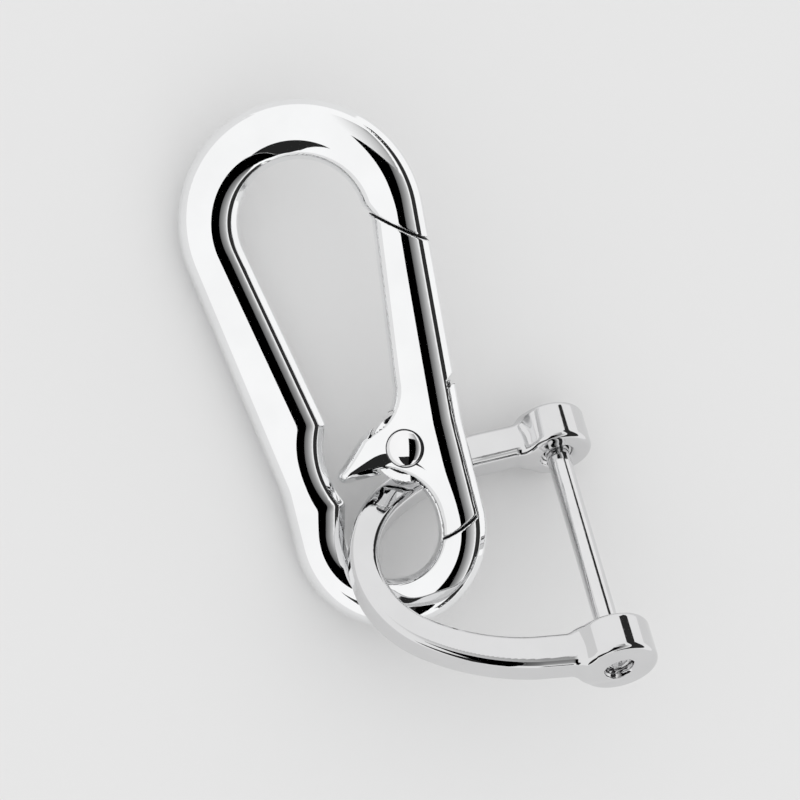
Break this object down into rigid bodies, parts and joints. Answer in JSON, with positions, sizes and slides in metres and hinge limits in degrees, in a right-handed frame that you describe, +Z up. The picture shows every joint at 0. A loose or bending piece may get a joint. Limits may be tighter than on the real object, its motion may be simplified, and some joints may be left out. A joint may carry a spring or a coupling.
{
  "type": "snap hook with shackle",
  "caption": "Spring-gate snap hook with an inward-opening gate, linked through its lower eye to a bow shackle closed by a socket-head screw pin.",
  "frame": {"origin": "centre of the whole part's footprint, on the surface it rests on", "axes": "+Y runs along the hook from its eye to its nose, +Z is up from the surface and +X points to the side where the shackle lies"},
  "size_m": [0.0439, 0.0828, 0.0262],
  "materials": {
    "chrome_casting": "mirror polished chrome plate on a zinc die casting",
    "chrome_rivet": "polished chrome plated steel",
    "spring_steel": "drawn spring wire",
    "chrome_bow": "polished chrome plate with soft edges",
    "chrome_pin": "polished chrome plated steel, dull in the socket and thread"
  },
  "bodies": {
    "hook": {"hook_body": "chrome_casting"},
    "gate": {"gate": "chrome_casting", "gate_rivet": "chrome_rivet", "gate_spring": "spring_steel"},
    "shackle": {"shackle_bow": "chrome_bow"},
    "pin": {"shackle_pin": "chrome_pin"}
  },
  "joints": [
    {"name": "gate_hinge", "type": "hinge", "parent": "hook", "child": "gate", "pos_m": [-0.00364, -0.00478, 0.01085], "axis": [-0.5, -0.0332, 0.8654], "range_deg": [0, 16], "stiffness_Nm_per_rad": 0.06, "springref_deg": -28.65},
    {"name": "shackle_swing", "type": "hinge", "parent": "hook", "child": "shackle", "pos_m": [-0.0006, -0.01414, 0.01224], "axis": [-0.6124, 0.7202, -0.3261], "range_deg": [0, 90]},
    {"name": "pin_slide", "type": "slide", "parent": "shackle", "child": "pin", "axis": [-0.1916, -0.8515, 0.4881], "range_m": [0, 0.037]}
  ]
}
